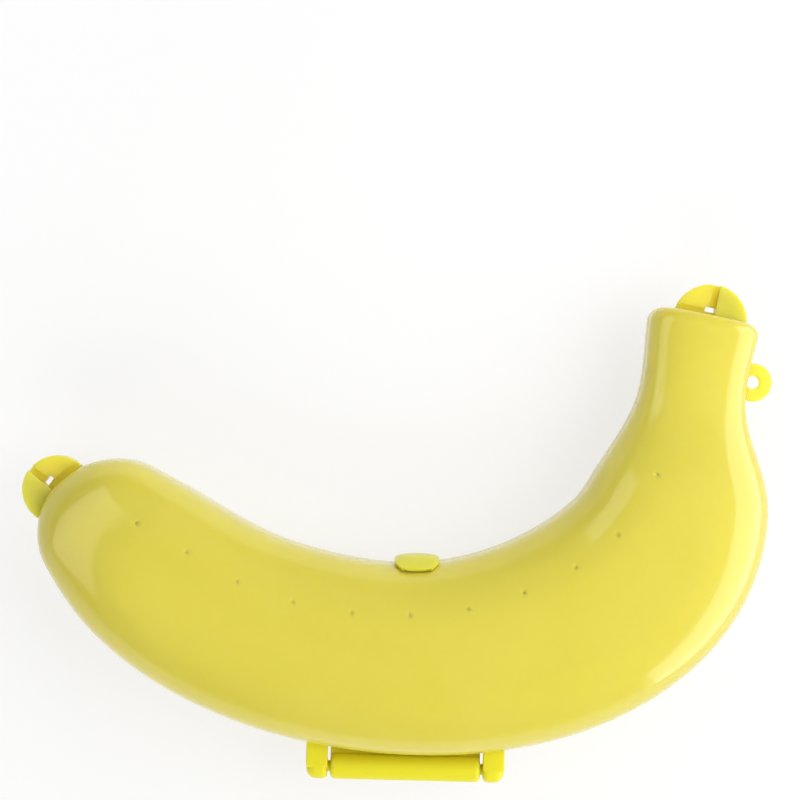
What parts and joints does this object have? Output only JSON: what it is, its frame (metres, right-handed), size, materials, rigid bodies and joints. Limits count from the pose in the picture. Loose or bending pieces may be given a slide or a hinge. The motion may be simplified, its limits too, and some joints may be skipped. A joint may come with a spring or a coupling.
{
  "type": "banana carrying case",
  "caption": "Hinged hard case in the shape of a banana, with vented shells, thumb tabs at both ends, a latch inside the bend and a ring to hang it by.",
  "frame": {"origin": "under the middle of the whole case, on the flat crown of the rear shell that the case lies on", "axes": "+X along the hinge from the tip's side to the stem's side, +Y to the inside of the bend, +Z to the front"},
  "size_m": [0.2094, 0.1412, 0.045],
  "materials": {
    "shell_plastic": "semi-gloss, slightly see-through yellow",
    "fitting_plastic": "semi-gloss, deeper yellow where the moulding is solid",
    "pin_plastic": "semi-gloss"
  },
  "bodies": {
    "rear": {"rear_shell": "shell_plastic", "hinge_barrel": "fitting_plastic", "rear_tip_tab": "fitting_plastic", "rear_stem_tab": "fitting_plastic", "hang_ring": "fitting_plastic", "latch_catch": "fitting_plastic"},
    "front": {"front_shell": "shell_plastic", "locating_lip": "shell_plastic", "left_hinge_ear": "fitting_plastic", "right_hinge_ear": "fitting_plastic", "hinge_pin": "pin_plastic", "front_tip_tab": "fitting_plastic", "front_stem_tab": "fitting_plastic"},
    "latch": {"latch_tongue": "fitting_plastic"}
  },
  "joints": [
    {"name": "lid_hinge", "type": "hinge", "parent": "rear", "child": "front", "pos_m": [0.00437, -0.06702, 0.0225], "axis": [1, 0, 0], "range_deg": [0, 180]},
    {"name": "latch_flex", "type": "hinge", "parent": "front", "child": "latch", "pos_m": [0.00625, -0.01011, 0.0345], "axis": [0.9997, 0.0239, 0], "range_deg": [0, 12], "stiffness_Nm_per_rad": 0.05}
  ]
}
